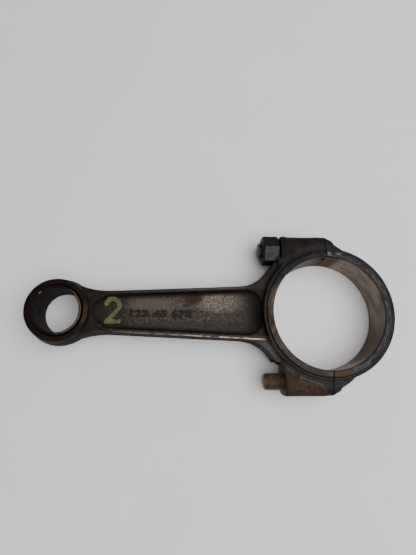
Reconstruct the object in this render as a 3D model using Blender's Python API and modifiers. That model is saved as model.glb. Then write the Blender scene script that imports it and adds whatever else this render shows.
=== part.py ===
"""Connecting rod of a small boxer engine, lying flat with its bore axes upright.

The forged shank carries a bushed small end and the upper half of the big end. The bearing cap
is drawn against it by two studs that are fixed in the cap and pass through the rod's bolt
bosses. One stud carries its hexagon nut; the other has none.

Metres, +Z up along the bore axes, +X from the small end to the big end. Lengths along X are
measured from the big-end bore's axis, and heights from the rod's middle plane.
"""

import math

import bmesh
import bpy
from mathutils import Matrix, Vector

# Whole rod
CENTRE_DISTANCE = 0.1370
GAP = 0.0003            # clearance between neighbouring solids

# Big end: bore, raised thrust ring, turned step around it, forged hub below that
BIG_BORE_R = 0.0290
BIG_CHAMFER = 0.0004
BIG_WIDTH = 0.0198
RING_R = 0.0324
TURNED_R = 0.0337
TURNED_DROP = 0.0008
HUB_SHOULDER_R = 0.0345
HUB_SHOULDER_DROP = 0.0017
HUB_R = 0.0356

# Small end: eye and the bush pressed into it
SMALL_WIDTH = 0.0210
EYE_R = 0.0171
EYE_FACE_R = 0.0154
EYE_ROUND = 0.0006
EYE_BORE_R = 0.01255
EYE_CHAMFER = 0.0008
BUSH_R = 0.01225
BUSH_BORE_R = 0.0110
BUSH_CHAMFER = 0.0005
OIL_HOLE_R = 0.0012

# Shank: an I-section that widens towards the big end, with drafted forging walls
SHANK_HALF_WIDTH = 0.0165     # carried on to the big-end axis
SHANK_TAPER = 0.046           # half width gained per length
SHANK_HALF_HEIGHT = 0.00675
FLASH_LAND = 0.0006           # parting land at mid height
SHANK_DRAFT = 0.0009
BIG_FILLET_R = 0.0196
SMALL_FILLET_R = 0.0440
FLARE_X = -0.0270             # where the shank has flared out to the bolt bosses
FLARE_Y = 0.0370

# Recess in each side of the shank, which leaves the web
FLANGE_WIDTH = 0.0026
WEB_HALF_HEIGHT = 0.00285
RECESS_DRAFT = 0.0017
RECESS_WALL_SHARE = 0.7       # of the depth, before the wall eases into the web
RECESS_SMALL_X = -0.1203
RECESS_BIG_X = -0.0338
RECESS_SMALL_R = 0.0062
RECESS_BIG_R = 0.0085

# Bolt bosses on the rod, nut seats, and the lugs on the cap that meet them
STUD_Y = 0.0345
SEAT_X = -0.0235
SEAT_CUTTER_R = 0.0102
BOSS_INNER_Y = 0.0260
BOSS_OUTER_Y = 0.0419
BOSS_HALF_HEIGHT = 0.0086
BOSS_DRAFT = 0.0008
BOSS_EDGE = 0.0010
BOSS_CORNER = (0.0007, 0.0010)          # broken corner beside the nut seat, along X and Y
BOSS_SLOPE = 0.0036                     # length over which the boss falls to the cap's lug
CAP_LUG_Y = 0.0412
CAP_LUG_CORNER = (0.0040, 0.0394)
CAP_LUG_FOOT = ((0.0050, 0.0382), (0.0110, 0.0346), (0.0190, BOSS_INNER_Y))
CAP_LUG_HALF_HEIGHT = 0.0078
TANG_NOTCH = (0.0090, 0.0013, 0.0044)   # length, depth, width of the shell's locating notch
TANG_NOTCH_DROP = 0.0012                # below the ring's face

# Studs M9 and nut, 14 mm across flats
STUD_R = 0.0045
STUD_WAIST_R = 0.0042
STUD_HOLE_R = STUD_R + GAP
SPIGOT_R = 0.0032                       # the stud's reduced end, in a blind hole in the cap
SPIGOT_HOLE_R = SPIGOT_R + GAP
SPIGOT_LENGTH = 0.0039
STUD_TIP = {"upper": 0.03465, "lower": 0.0336}  # how far each tip stands from the parting plane
STUD_TIP_CHAMFER = 0.0009
STUD_THREAD_LENGTH = 0.0190
STUD_COLLAR_LENGTH = 0.0040             # full diameter beside the parting plane
NUT_ACROSS_FLATS = 0.0140
NUT_HEIGHT = 0.0090
NUT_FACE_SHARE = 0.95                   # of the width across flats, inside the end chamfer
NUT_CHAMFER = math.radians(30.0)
NUT_TURN = math.radians(24.5)           # how far a flat leans from facing up

# The rod's frame: origin under the middle of the whole part, on the surface it lies on
MID_Z = SMALL_WIDTH / 2
BIG_X = (CENTRE_DISTANCE + EYE_R - HUB_R) / 2

BIG_STEPS = 80
EYE_STEPS = 56
STUD_STEPS = 24
SEAT_STEPS = 40
CHAMFER_STEPS = 36
OIL_HOLE_STEPS = 12
FILLET_STEPS = 7
BEYOND = 0.002          # how far a cutter reaches past the face that it cuts


def material(name, color, roughness, metallic):
    made = bpy.data.materials.new(name)
    made.use_nodes = True
    shader = made.node_tree.nodes["Principled BSDF"]
    shader.inputs["Base Color"].default_value = (*color, 1.0)
    shader.inputs["Roughness"].default_value = roughness
    shader.inputs["Metallic"].default_value = metallic
    return made


def add_object(name, mesh, collection, parent, location=(0, 0, 0), rotation=(0, 0, 0)):
    made = bpy.data.objects.new(name, mesh)
    collection.objects.link(made)
    made.parent = parent
    made.location = location
    made.rotation_euler = rotation
    return made


def as_cutter(made):
    """Shapes that only cut or complete another piece stay out of the finished part."""
    made.hide_render = True
    made.display_type = "WIRE"
    return made


def combine(target, other, operation):
    step = target.modifiers.new(f"{operation.lower()} {other.name}", "BOOLEAN")
    step.operation = operation
    step.object = other
    step.solver = "EXACT"


def turned(name, profile, steps, collection, parent, **place):
    """A profile of (radius, height) points, running down its outer side, turned about Z."""
    mesh = bpy.data.meshes.new(name)
    edges = [(i, i + 1) for i in range(len(profile) - 1)]
    if profile[0][0] > 0:
        edges.append((len(profile) - 1, 0))
    mesh.from_pydata([(r, 0, z) for r, z in profile], edges, [])
    made = add_object(name, mesh, collection, parent, **place)
    screw = made.modifiers.new("turn", "SCREW")
    screw.angle = math.tau
    screw.steps = steps
    screw.render_steps = steps
    screw.use_merge_vertices = True
    screw.merge_threshold = 0.00001
    screw.use_smooth_shade = True
    return made


def mirrored_profile(upper):
    """An upper half profile, closed by its reflection below the middle plane."""
    lower = [(r, -z) for r, z in reversed(upper) if z > 0]
    return upper + lower


def forged_block(name, outline, half_height, draft, edge, collection, parent, **place):
    """A plan outline with a flash land at mid height, drafted walls and broken edges."""
    bm = bmesh.new()
    ring = [bm.verts.new((x, y, -FLASH_LAND / 2)) for x, y in outline]
    base = bm.faces.new(ring)
    top = bmesh.ops.extrude_face_region(bm, geom=[base])["geom"]
    raised = [item for item in top if isinstance(item, bmesh.types.BMVert)]
    bmesh.ops.translate(bm, vec=(0, 0, FLASH_LAND), verts=raised)
    bmesh.ops.recalc_face_normals(bm, faces=bm.faces)
    wall = half_height - FLASH_LAND / 2 - edge
    caps = [face for face in bm.faces if abs(face.normal.z) > 0.9]
    for cap in caps:
        for inset, rise in ((draft, wall), (edge, edge)):
            bmesh.ops.inset_region(
                bm, faces=[cap], thickness=inset, depth=rise, use_even_offset=True
            )
    return add_object(name, mesh_from(bm, name), collection, parent, **place)


def mesh_from(bm, name):
    mesh = bpy.data.meshes.new(name)
    bm.to_mesh(mesh)
    bm.free()
    return mesh


def box(name, low, high, collection, parent):
    bm = bmesh.new()
    size = Vector(high) - Vector(low)
    middle = (Vector(high) + Vector(low)) / 2
    bmesh.ops.create_cube(bm, size=1.0, matrix=Matrix.Diagonal((*size, 1.0)))
    return add_object(name, mesh_from(bm, name), collection, parent, location=middle)


def rod_along_x(name, radius, start, end, y, collection, parent, steps=STUD_STEPS):
    """A plain cylinder whose axis runs along X."""
    bm = bmesh.new()
    bmesh.ops.create_cone(
        bm, cap_ends=True, segments=steps, radius1=radius, radius2=radius, depth=end - start
    )
    place = {"location": ((start + end) / 2, y, 0), "rotation": (0, math.pi / 2, 0)}
    return add_object(name, mesh_from(bm, name), collection, parent, **place)


def arc(centre, radius, start, end, steps):
    """Points on an arc, both ends included; angles in radians."""
    angles = [start + (end - start) * i / steps for i in range(steps + 1)]
    return [(centre[0] + radius * math.cos(a), centre[1] + radius * math.sin(a)) for a in angles]


def rounded(corners, radii, steps=FILLET_STEPS):
    """A closed outline with each corner replaced by an arc of its own radius, or kept at 0."""
    outline = []
    for i, (corner, radius) in enumerate(zip(corners, radii)):
        here = Vector(corner)
        before = (Vector(corners[i - 1]) - here).normalized()
        after = (Vector(corners[(i + 1) % len(corners)]) - here).normalized()
        if radius == 0:
            outline.append(tuple(here))
            continue
        half = before.angle(after) / 2
        middle = here + (before + after).normalized() * radius / math.sin(half)
        first = here + before * radius / math.tan(half) - middle
        last = here + after * radius / math.tan(half) - middle
        turn = first.angle_signed(last)
        for k in range(steps + 1):
            spoke = Matrix.Rotation(-turn * k / steps, 2) @ first
            outline.append(tuple(middle + spoke))
    return outline


def shank_half_width(x, inset=0.0):
    return SHANK_HALF_WIDTH - inset + SHANK_TAPER * x


def small_fillet():
    """Arc that leads from the eye into the shank's edge, on the +Y side, eye end first."""
    eye_r = EYE_R - 2 * GAP
    away = SHANK_HALF_WIDTH + SMALL_FILLET_R * math.hypot(1, SHANK_TAPER)
    # centre (x, away + taper * x) at eye_r + fillet radius from the eye's own centre
    a = 1 + SHANK_TAPER**2
    b = 2 * (CENTRE_DISTANCE + away * SHANK_TAPER)
    c = CENTRE_DISTANCE**2 + away**2 - (eye_r + SMALL_FILLET_R) ** 2
    x = (-b + math.sqrt(b * b - 4 * a * c)) / (2 * a)
    centre = (x, away + SHANK_TAPER * x)
    towards_eye = math.atan2(-centre[1], -CENTRE_DISTANCE - x)
    towards_edge = math.atan(SHANK_TAPER) - math.pi / 2
    return arc(centre, SMALL_FILLET_R, towards_eye, towards_edge, FILLET_STEPS)


def shank_outline():
    """Plan of the shank, counter-clockwise, from inside the eye to inside the big end."""
    shoulder = (FLARE_X, shank_half_width(FLARE_X))
    edge_start = (RECESS_SMALL_X, shank_half_width(RECESS_SMALL_X))
    corners = [edge_start, shoulder, (FLARE_X, FLARE_Y)]
    flare = rounded(corners, [0, BIG_FILLET_R, 0])[1:-1]
    inside = [(-CENTRE_DISTANCE, EYE_BORE_R)]
    upper = inside + small_fillet() + flare + [(FLARE_X, FLARE_Y), (-BIG_BORE_R / 2, FLARE_Y)]
    lower = [(x, -y) for x, y in upper]
    return lower + upper[::-1]


def recess_outline():
    small_y = shank_half_width(RECESS_SMALL_X, FLANGE_WIDTH)
    big_y = shank_half_width(RECESS_BIG_X, FLANGE_WIDTH)
    corners = [
        (RECESS_SMALL_X, -small_y),
        (RECESS_BIG_X, -big_y),
        (RECESS_BIG_X, big_y),
        (RECESS_SMALL_X, small_y),
    ]
    return rounded(corners, [RECESS_SMALL_R, RECESS_BIG_R, RECESS_BIG_R, RECESS_SMALL_R])


def recess_cutter(name, side, collection, parent):
    """Tapers from the flange tops down to the web, on the side (+1 or -1) that it opens to."""
    bm = bmesh.new()
    face = bm.faces.new([bm.verts.new((x, y, SHANK_HALF_HEIGHT)) for x, y in recess_outline()])
    depth = SHANK_HALF_HEIGHT - WEB_HALF_HEIGHT
    lid = bmesh.ops.extrude_face_region(bm, geom=[face])["geom"]
    above = [item for item in lid if isinstance(item, bmesh.types.BMVert)]
    bmesh.ops.translate(bm, vec=(0, 0, BEYOND), verts=above)
    bmesh.ops.recalc_face_normals(bm, faces=bm.faces)
    floor = min(bm.faces, key=lambda f: f.calc_center_median().z)
    wall_depth = RECESS_WALL_SHARE * depth
    for inset, fall in ((RECESS_DRAFT / 2, wall_depth), (RECESS_DRAFT, depth - wall_depth)):
        bmesh.ops.inset_region(
            bm, faces=[floor], thickness=inset, depth=fall, use_even_offset=True
        )
    if side < 0:
        bmesh.ops.scale(bm, vec=(1, 1, -1), verts=bm.verts)
        bmesh.ops.reverse_faces(bm, faces=bm.faces)
    return add_object(name, mesh_from(bm, name), collection, parent)


def boss_outline():
    """Plan of the rod's upper bolt boss, carried on past the nut seat that is cut across it."""
    run, fall = BOSS_CORNER
    spare = 2 * run
    return [
        (SEAT_X - spare, BOSS_INNER_Y),
        (0, BOSS_INNER_Y),
        (0, CAP_LUG_Y),
        (-BOSS_SLOPE, BOSS_OUTER_Y),
        (SEAT_X + run, BOSS_OUTER_Y),
        (SEAT_X - spare, BOSS_OUTER_Y - fall * (run + spare) / run),
    ]


def lug_outline():
    """Plan of the cap's lug, which slopes down onto the hub."""
    return [(0, BOSS_INNER_Y), *reversed(CAP_LUG_FOOT), CAP_LUG_CORNER, (0, CAP_LUG_Y)]


def flipped(outline):
    """The same plan on the -Y side, still counter-clockwise."""
    return [(x, -y) for x, y in reversed(outline)]


def hub_profile():
    face = BIG_WIDTH / 2
    return mirrored_profile(
        [
            (0, face),
            (RING_R - GAP, face),
            (RING_R, face - GAP),
            (RING_R, face - TURNED_DROP),
            (TURNED_R, face - TURNED_DROP),
            (HUB_SHOULDER_R, face - HUB_SHOULDER_DROP),
            (HUB_R, FLASH_LAND / 2),
        ]
    )


def bore_profile(radius, chamfer, width):
    """A cutter for a bore with a chamfer at each face."""
    face = width / 2
    return mirrored_profile(
        [
            (0, face + BEYOND),
            (radius + chamfer + BEYOND, face + BEYOND),
            (radius, face - chamfer),
        ]
    )


def stud_hole_cutters(half, radius, start, end, collection, parent):
    """The two holes, one on each side, that a half of the big end has for its studs."""
    return [
        rod_along_x(f"{half}_stud_hole_{side}", radius, start, end, y, collection, parent)
        for side, y in (("upper", STUD_Y), ("lower", -STUD_Y))
    ]


def make_rod(parts, cutters, frame, big_bore, steel):
    rod = forged_block(
        "rod_body", shank_outline(), SHANK_HALF_HEIGHT, SHANK_DRAFT, GAP, parts, frame
    )
    rod.data.materials.append(steel)

    hub = as_cutter(turned("rod_hub", hub_profile(), BIG_STEPS, cutters, frame))
    eye_face = SMALL_WIDTH / 2
    eye_profile = mirrored_profile(
        [
            (0, eye_face),
            (EYE_FACE_R, eye_face),
            (EYE_FACE_R + EYE_ROUND, eye_face - EYE_ROUND),
            (EYE_R, FLASH_LAND / 2),
        ]
    )
    at_eye = (-CENTRE_DISTANCE, 0, 0)
    eye = as_cutter(turned("eye", eye_profile, EYE_STEPS, cutters, frame, location=at_eye))
    for side in (1, -1):
        recess = recess_cutter(f"recess_cutter_{side:+d}", side, cutters, frame)
        combine(rod, as_cutter(recess), "DIFFERENCE")
    for solid in (eye, hub):
        combine(rod, solid, "UNION")
    seat_plane = box(
        "seat_plane_cutter",
        (2 * SEAT_X, -2 * BOSS_OUTER_Y, -SMALL_WIDTH),
        (SEAT_X, 2 * BOSS_OUTER_Y, SMALL_WIDTH),
        cutters,
        frame,
    )
    for side, outline in (("upper", boss_outline()), ("lower", flipped(boss_outline()))):
        boss = forged_block(
            f"bolt_boss_{side}", outline, BOSS_HALF_HEIGHT, BOSS_DRAFT, BOSS_EDGE, cutters, frame
        )
        combine(boss, as_cutter(seat_plane), "DIFFERENCE")
        combine(rod, as_cutter(boss), "UNION")

    eye_bore = turned(
        "eye_bore_cutter",
        bore_profile(EYE_BORE_R, EYE_CHAMFER, SMALL_WIDTH),
        EYE_STEPS,
        cutters,
        frame,
        location=at_eye,
    )
    beyond_parting = box(
        "parting_cutter_rod",
        (-GAP / 2, -2 * BOSS_OUTER_Y, -SMALL_WIDTH),
        (2 * HUB_R, 2 * BOSS_OUTER_Y, SMALL_WIDTH),
        cutters,
        frame,
    )
    length, depth, width = TANG_NOTCH
    tang_notch = box(
        "tang_notch_cutter",
        (-length, BIG_BORE_R - 3 * depth, BIG_WIDTH / 2 - TANG_NOTCH_DROP - width),
        (BEYOND, BIG_BORE_R + depth, BIG_WIDTH / 2 - TANG_NOTCH_DROP),
        cutters,
        frame,
    )
    oil_hole = rod_along_x(
        "oil_hole_cutter",
        OIL_HOLE_R,
        -CENTRE_DISTANCE - EYE_R - BEYOND,
        -CENTRE_DISTANCE,
        0,
        cutters,
        frame,
        steps=OIL_HOLE_STEPS,
    )
    removed = [big_bore, eye_bore, tang_notch, oil_hole, beyond_parting]
    removed += stud_hole_cutters(
        "rod", STUD_HOLE_R, SEAT_X - BEYOND, BEYOND, cutters, frame
    )
    for side in (1, -1):
        seat = rod_along_x(
            f"nut_seat_cutter_{side:+d}",
            SEAT_CUTTER_R,
            2 * SEAT_X,
            SEAT_X,
            side * STUD_Y,
            cutters,
            frame,
            steps=SEAT_STEPS,
        )
        removed.append(seat)
    for cutter in removed:
        combine(rod, as_cutter(cutter), "DIFFERENCE")
    return oil_hole


def make_bush(parts, frame, oil_hole, bronze):
    face = SMALL_WIDTH / 2
    profile = [
        (BUSH_BORE_R + BUSH_CHAMFER, face),
        (BUSH_R - GAP, face),
        (BUSH_R, face - GAP),
        (BUSH_R, -face + GAP),
        (BUSH_R - GAP, -face),
        (BUSH_BORE_R + BUSH_CHAMFER, -face),
        (BUSH_BORE_R, -face + BUSH_CHAMFER),
        (BUSH_BORE_R, face - BUSH_CHAMFER),
    ]
    bush = turned(
        "small_end_bush", profile, EYE_STEPS, parts, frame, location=(-CENTRE_DISTANCE, 0, 0)
    )
    bush.data.materials.append(bronze)
    combine(bush, oil_hole, "DIFFERENCE")


def make_cap(parts, cutters, frame, big_bore, steel):
    cap = turned("bearing_cap", hub_profile(), BIG_STEPS, parts, frame)
    cap.data.materials.append(steel)
    for side, outline in (("upper", lug_outline()), ("lower", flipped(lug_outline()))):
        lug = forged_block(
            f"cap_lug_{side}", outline, CAP_LUG_HALF_HEIGHT, BOSS_DRAFT, BOSS_EDGE, cutters, frame
        )
        combine(cap, as_cutter(lug), "UNION")
    before_parting = box(
        "parting_cutter_cap",
        (-2 * HUB_R, -2 * BOSS_OUTER_Y, -SMALL_WIDTH),
        (GAP / 2, 2 * BOSS_OUTER_Y, SMALL_WIDTH),
        cutters,
        frame,
    )
    holes = stud_hole_cutters(
        "cap", SPIGOT_HOLE_R, -BEYOND, SPIGOT_LENGTH + GAP, cutters, frame
    )
    for cutter in [before_parting, big_bore, *holes]:
        combine(cap, as_cutter(cutter), "DIFFERENCE")
    return cap


def make_stud(side, y, parts, cap, steel):
    """A waisted stud: its threaded end passes the boss, and its reduced end sits in the cap."""
    tip = STUD_TIP[side]
    thread_end = tip - STUD_THREAD_LENGTH
    slope = STUD_R - STUD_WAIST_R
    waist_end = STUD_COLLAR_LENGTH + slope
    profile = [
        (0, tip),
        (STUD_R - STUD_TIP_CHAMFER, tip),
        (STUD_R, tip - STUD_TIP_CHAMFER),
        (STUD_R, thread_end),
        (STUD_WAIST_R, thread_end - slope),
        (STUD_WAIST_R, waist_end),
        (STUD_R, STUD_COLLAR_LENGTH),
        (STUD_R, GAP),
        (SPIGOT_R, GAP),
        (SPIGOT_R, -SPIGOT_LENGTH + GAP),
        (SPIGOT_R - GAP, -SPIGOT_LENGTH),
        (0, -SPIGOT_LENGTH),
    ]
    stud = turned(
        f"cap_stud_{side}",
        profile,
        STUD_STEPS,
        parts,
        cap,
        location=(0, y, 0),
        rotation=(0, -math.pi / 2, 0),
    )
    stud.data.materials.append(steel)


def make_nut(parts, cutters, frame, steel):
    """A hexagon nut, chamfered at both ends, standing against the upper boss."""
    corner_r = NUT_ACROSS_FLATS / math.sqrt(3)
    bm = bmesh.new()
    bmesh.ops.create_cone(
        bm, cap_ends=True, segments=6, radius1=corner_r, radius2=corner_r, depth=NUT_HEIGHT
    )
    place = (SEAT_X - GAP - NUT_HEIGHT / 2, STUD_Y, 0)
    lie_down = Matrix.Rotation(-math.pi / 2, 3, "Y")
    rotation = (Matrix.Rotation(NUT_TURN, 3, "X") @ lie_down).to_euler()
    nut = add_object("nut_upper", mesh_from(bm, "nut_upper"), parts, frame, place, rotation)
    nut.data.materials.append(steel)

    face = NUT_HEIGHT / 2
    face_r = NUT_FACE_SHARE * NUT_ACROSS_FLATS / 2
    fall = (corner_r - face_r) * math.tan(NUT_CHAMFER)
    chamfer = [(0, face), (face_r, face), (corner_r + GAP, face - fall)]
    chamfer_body = as_cutter(
        turned(
            "nut_chamfer",
            mirrored_profile(chamfer),
            CHAMFER_STEPS,
            cutters,
            frame,
            location=place,
            rotation=rotation,
        )
    )
    combine(nut, chamfer_body, "INTERSECT")
    thread = rod_along_x(
        "nut_bore_cutter",
        STUD_HOLE_R,
        place[0] - NUT_HEIGHT,
        place[0] + NUT_HEIGHT,
        STUD_Y,
        cutters,
        frame,
    )
    combine(nut, as_cutter(thread), "DIFFERENCE")


def main():
    for old in list(bpy.data.objects):
        bpy.data.objects.remove(old, do_unlink=True)
    parts = bpy.data.collections.new("connecting_rod")
    cutters = bpy.data.collections.new("cutters")
    for collection in (parts, cutters):
        bpy.context.scene.collection.children.link(collection)
    frame = add_object("big_end_centre", None, parts, None, location=(BIG_X, 0, MID_Z))

    forged = material("forged_steel", (0.060, 0.052, 0.045), 0.50, 0.85)
    cap_steel = material("cap_steel", (0.075, 0.072, 0.075), 0.48, 0.85)
    stud_steel = material("rusty_stud_steel", (0.130, 0.085, 0.045), 0.60, 0.70)
    nut_steel = material("blackened_nut_steel", (0.070, 0.070, 0.072), 0.42, 0.90)
    bronze = material("bush_bronze", (0.300, 0.190, 0.090), 0.38, 1.00)

    bore = bore_profile(BIG_BORE_R, BIG_CHAMFER, BIG_WIDTH)
    big_bore = turned("big_bore_cutter", bore, BIG_STEPS, cutters, frame)
    oil_hole = make_rod(parts, cutters, frame, big_bore, forged)
    make_bush(parts, frame, oil_hole, bronze)
    cap = make_cap(parts, cutters, frame, big_bore, cap_steel)
    for side, y in (("upper", STUD_Y), ("lower", -STUD_Y)):
        make_stud(side, y, parts, cap, stud_steel)
    make_nut(parts, cutters, frame, nut_steel)


main()
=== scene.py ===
import math

import bmesh
import bpy
import numpy as np
from mathutils import Matrix, Vector, bvhtree, kdtree, noise


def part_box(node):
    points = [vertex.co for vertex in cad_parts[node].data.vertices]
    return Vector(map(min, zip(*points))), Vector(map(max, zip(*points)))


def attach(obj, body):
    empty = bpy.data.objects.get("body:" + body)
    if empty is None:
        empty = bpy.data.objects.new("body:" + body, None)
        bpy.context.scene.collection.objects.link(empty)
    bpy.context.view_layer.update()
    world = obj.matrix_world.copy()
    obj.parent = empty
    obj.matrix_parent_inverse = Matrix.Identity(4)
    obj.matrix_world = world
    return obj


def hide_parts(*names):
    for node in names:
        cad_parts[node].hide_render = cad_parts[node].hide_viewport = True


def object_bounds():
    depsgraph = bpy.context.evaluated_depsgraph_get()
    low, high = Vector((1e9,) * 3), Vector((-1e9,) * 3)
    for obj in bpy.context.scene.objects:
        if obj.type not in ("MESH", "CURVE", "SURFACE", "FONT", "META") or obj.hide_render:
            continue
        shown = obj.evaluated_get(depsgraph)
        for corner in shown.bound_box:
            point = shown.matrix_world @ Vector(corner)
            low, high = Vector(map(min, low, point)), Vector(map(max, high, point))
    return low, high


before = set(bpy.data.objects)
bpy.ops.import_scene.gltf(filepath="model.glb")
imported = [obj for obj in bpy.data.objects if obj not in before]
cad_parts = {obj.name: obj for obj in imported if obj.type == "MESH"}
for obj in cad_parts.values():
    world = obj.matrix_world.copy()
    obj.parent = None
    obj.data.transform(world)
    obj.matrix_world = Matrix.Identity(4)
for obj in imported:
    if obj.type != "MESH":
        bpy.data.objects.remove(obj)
cad_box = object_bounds()

# Everything is modelled in millimetres from the middle of the big-end bore, with X running away
# from the small end and Z up along the bore. deliver() then moves it into the frame, in metres.
M = 1000.0
GAP = 0.3


def middle_of(node):
    low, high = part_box(node)
    return (low + high) / 2 * M


def size_of(node):
    low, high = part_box(node)
    return (high - low) * M


# Driving dimensions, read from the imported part
BUSH_SIZE, BUSH_MIDDLE = size_of("small_end_bush"), middle_of("small_end_bush")
CAP_SIZE = size_of("bearing_cap")
CENTRE = Vector((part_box("bearing_cap")[0].x * M - GAP / 2, BUSH_MIDDLE.y, BUSH_MIDDLE.z))
EYE_X = (BUSH_MIDDLE - CENTRE).x
EYE_FACE = BUSH_SIZE.z / 2
BUSH_R = BUSH_SIZE.x / 2
BIG_FACE = CAP_SIZE.z / 2
HUB_R = CAP_SIZE.x + GAP / 2
STUD_Y = (middle_of("cap_stud_upper") - CENTRE).y
STUD_R = size_of("cap_stud_upper").z / 2
STUD_TIP = {side: (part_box(f"cap_stud_{side}")[0] * M - CENTRE).x for side in ("upper", "lower")}
NUT_START = (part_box("nut_upper")[0] * M - CENTRE).x
NUT_END = (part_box("nut_upper")[1] * M - CENTRE).x
SEAT_X = NUT_END + GAP

# Machined shapes
BEYOND = 3.0           # how far a bore's cutter stands out of the stock
BIG_BORE_R = 29.0
RING_R = 32.4
TURNED_R = 33.7
TURNED_DROP = 0.8
EYE_R = 17.1
EYE_FACE_R = 15.4
EYE_BORE_R = 12.55
BUSH_BORE_R = 11.0
STUD_HOLE_R = STUD_R + GAP
SEAT_CUTTER_R = {1: 10.2, -1: 11.7}
TANG_NOTCH = (9.0, 1.3, 4.4)
TANG_NOTCH_DROP = 2.2
BORE_CHAMFER = 0.4
EYE_CHAMFER = 0.8
APRON_Z = 8.2          # flat beside the parting plane, on the bosses and the cap's lugs
APRON_X = (-4.6, 5.2)
APRON_R = 36.3         # where it runs on around the ring
APRON_CORNER_R = 4.5
OIL_HOLE_R = 1.2

# Forged shapes
SHANK_HALF_WIDTH = 16.5
SHANK_TAPER = 0.046
SHANK_HALF_HEIGHT = 6.75
SHANK_DRAFT = 0.9
BIG_FILLET_R = 19.6
SMALL_FILLET_R = 44.0
FLARE = (-27.0, 37.0)
FLANGE_WIDTH = 2.6
WEB_HALF_HEIGHT = 2.85
RECESS_DRAFT = 0.35
RECESS_FILLET = 2.8    # radius between the flanges and the web
RECESS_RAMP = 3.0      # further length over which the web rises to the big end
RECESS_SMALL = (-120.3, 3.8)
RECESS_SHOULDER_X = -113.3
RECESS_BIG_X = -33.8
BOSS_INNER_Y = 26.0
BOSS_OUTER_Y = 41.85
BOSS_HALF_HEIGHT = 8.6
LUG_Y = 41.6
ALLOWANCE = 1.0        # forged stock that the cuts take off
FLASH = 0.6            # thickness of the forging's parting line

VOXEL = 0.42
SKIN_ROUNDS = 3        # smoothing passes over the forged skin
NUT_ACROSS_FLATS = 14.0
NUT_TURN = math.radians(24.5)
NUT_CHAMFER = math.radians(30.0)
NUT_FACE_SHARE = 0.95  # of the width across flats, inside the chamfer
NUT_SINK = 0.7
NUT_VOXEL = 0.20
THREAD_PITCH = 1.0
THREAD_DEPTH = 0.55
THREAD_LENGTH = 19.0
THREAD_STEP = 0.11     # along the stud, between two rings of the mesh
STUD_SIDE = {"upper": 1, "lower": -1}
STUD_WAIST_R = 4.2
STUD_COLLAR = 4.0
TIP_CHAMFER = {"upper": 0.5, "lower": 1.0}
SPIGOT_R = 3.2
SPIGOT_LENGTH = 3.9
FIGURES_LOW, FIGURES_HIGH = (-101.9, -2.6), (-69.9, 1.5)
PAINT_BOW, PAINT_BOW_R = (-110.7, 3.4), 3.3
PAINT_FOOT_X, PAINT_FOOT_Y = (-113.8, -107.5), -5.1
PAINT_HALF_WIDTH = 1.12
PAINT_THICKNESS = 0.3
PAINT_LIFT = 0.06
PAINT_CELL = 0.22

# Camera, in millimetres from the middle of the big-end bore, and light, in metres
CAMERA_PLACE = (-75.0, -28.79, 226.7 - BIG_FACE)
CAMERA_TURN = (0.21867, -0.05938, 0.01312)
CAMERA_LENS = 27.05
KEY_PLACE = (0.40, -0.06, 0.95)
KEY_TARGET = (0.05, 0, 0)

# Colours, linear
FLOOR = (0.60, 0.59, 0.60)
SKY = (0.80, 0.82, 0.86)
KEY_COLOR = (1, 0.985, 0.965)
# Near-black: dirt in some places, painted shade in others, such as the seams beside the ring and the
# strokes of the raised figures
GRIME_AND_SHADE = (0.004, 0.0035, 0.0035)
DARK = (0.007, 0.006, 0.0055)
SOOT = (0.011, 0.009, 0.008)
BROWN_BLACK = (0.018, 0.0135, 0.0105)
BLUE_BLACK = (0.009, 0.009, 0.0105)
BLUE_GREY = (0.0225, 0.0225, 0.026)
BLUE_WORN = (0.06, 0.059, 0.063)
WEB_DARK = (0.0122, 0.01, 0.0085)
WEB_MID = (0.035, 0.029, 0.0242)
WEB_LIGHT = (0.082, 0.068, 0.057)
WEB_WORN = (0.21, 0.172, 0.142)
WEB_BLUE = (0.018, 0.0165, 0.016)
OIL_BROWN = (0.026, 0.0135, 0.008)
FLANGE = (0.036, 0.028, 0.022)
WORN_EDGE_HIGHLIGHT = (0.520, 0.430, 0.350)
WORN_STEEL = (0.075, 0.068, 0.064)
RUST_DARK = (0.0165, 0.0088, 0.0062)
RUST = (0.054, 0.031, 0.02)
RED_BROWN = (0.012, 0.0055, 0.0035)
LIP_GREY = (0.026, 0.02, 0.015)
FLARE_GREY = (0.115, 0.113, 0.11)
RING_BROWN = (0.037, 0.0255, 0.0185)
RING_TAN = (0.092, 0.07, 0.056)
RING_TAN_DARK = (0.026, 0.02, 0.016)
RING_RUST = (0.036, 0.021, 0.012)
SCUFF = (0.2, 0.195, 0.195)
APRON_DARK = (0.0085, 0.0076, 0.0076)
APRON_GREY = (0.0185, 0.0172, 0.0172)
APRON_RIM_HIGHLIGHT = (0.036, 0.029, 0.024)
EYE_BROWN = (0.045, 0.025, 0.013)
BORE_DARK = (0.036, 0.022, 0.014)
BORE_BROWN = (0.14, 0.108, 0.084)
BORE_GREY = (0.235, 0.19, 0.155)
BORE_TAN = (0.3, 0.252, 0.208)
BORE_CREAM = (0.08, 0.074, 0.064)
BORE_RED = (0.06, 0.036, 0.023)
BUSH_DARK = (0.004, 0.0033, 0.003)
BUSH_GREY = (0.008, 0.0063, 0.0055)
BUSH_BROWN = (0.013, 0.0095, 0.007)
BUSH_BRASS_GLINT = (0.15, 0.09, 0.045)
NUT_BLACK = (0.004, 0.004, 0.005)
NUT_DARK = (0.008, 0.008, 0.009)
NUT_FLAT_REFLECTION = (0.036, 0.0365, 0.037)
STUD_RUST_DARK = (0.026, 0.015, 0.009)
STUD_RUST = (0.068, 0.044, 0.027)
STUD_GOLD = (0.13, 0.088, 0.05)
PAINT_DIRTY = (0.02, 0.021, 0.006)
PAINT_MID = (0.05, 0.053, 0.0155)
PAINT_LIGHT = (0.098, 0.102, 0.033)



# ---------------------------------------------------------------- mesh tools

def add_object(name, data):
    made = bpy.data.objects.new(name, data)
    bpy.context.scene.collection.objects.link(made)
    return made


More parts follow.
